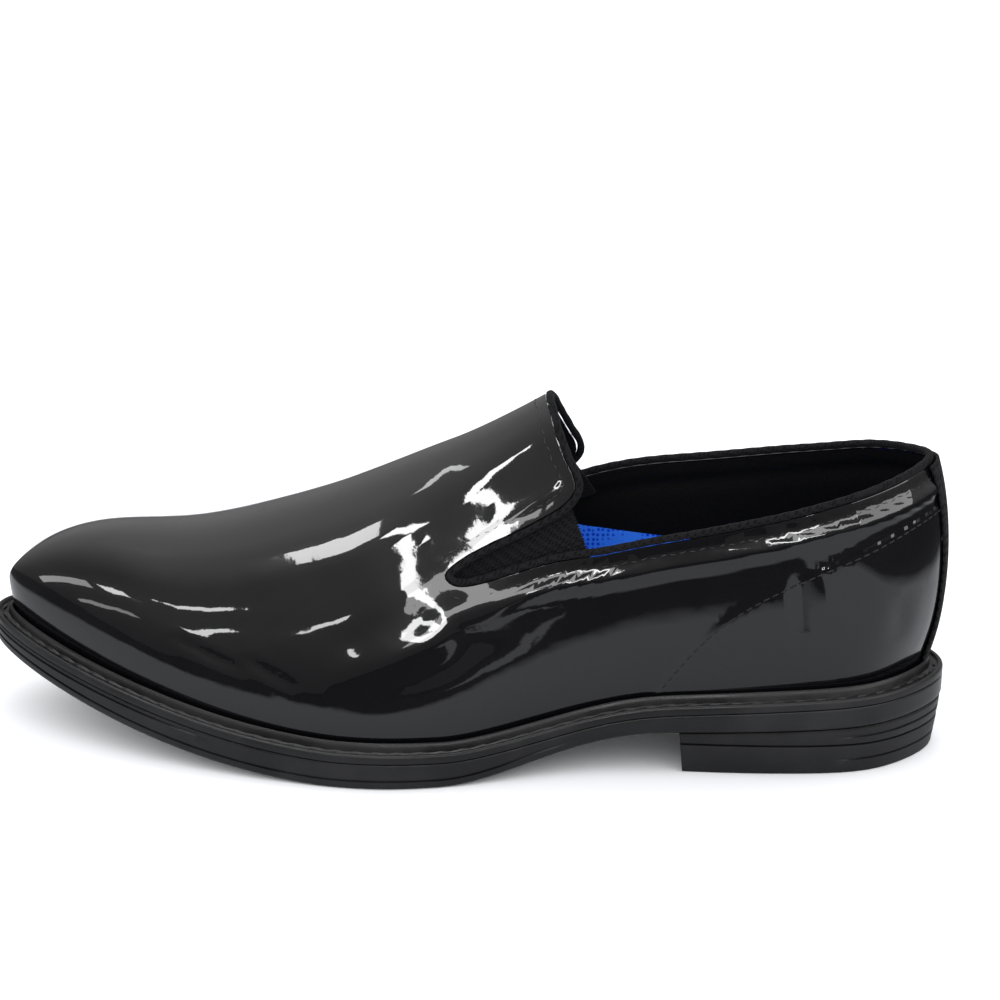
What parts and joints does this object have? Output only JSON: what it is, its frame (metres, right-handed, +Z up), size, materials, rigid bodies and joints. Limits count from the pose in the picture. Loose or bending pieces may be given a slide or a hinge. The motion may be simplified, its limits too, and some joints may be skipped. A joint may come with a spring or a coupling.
{
  "type": "slip-on dress shoe",
  "caption": "Left slip-on dress shoe in black patent leather: a low collar with elastic side notches, a welted sole and a stacked heel.",
  "frame": {"origin": "middle of the heel's tread, on the floor", "axes": "+X to the toe, +Y to the outer side of the foot, +Z up"},
  "size_m": [0.305, 0.1063, 0.111],
  "materials": {
    "outsole_rubber": "satin",
    "welt_rubber": "satin",
    "heel_rubber": "satin",
    "patent_leather": "high gloss",
    "binding_cloth": "matte",
    "backstay_leather": "matte",
    "elastic": "matte",
    "insole_mesh": "matte"
  },
  "bodies": {
    "root": {"outsole": "outsole_rubber", "welt": "welt_rubber", "heel_top_lift": "heel_rubber", "heel_base": "heel_rubber", "upper": "patent_leather", "topline_binding": "binding_cloth", "backstay": "backstay_leather", "gore_outer": "elastic", "gore_inner": "elastic", "insole": "insole_mesh"}
  },
  "joints": []
}
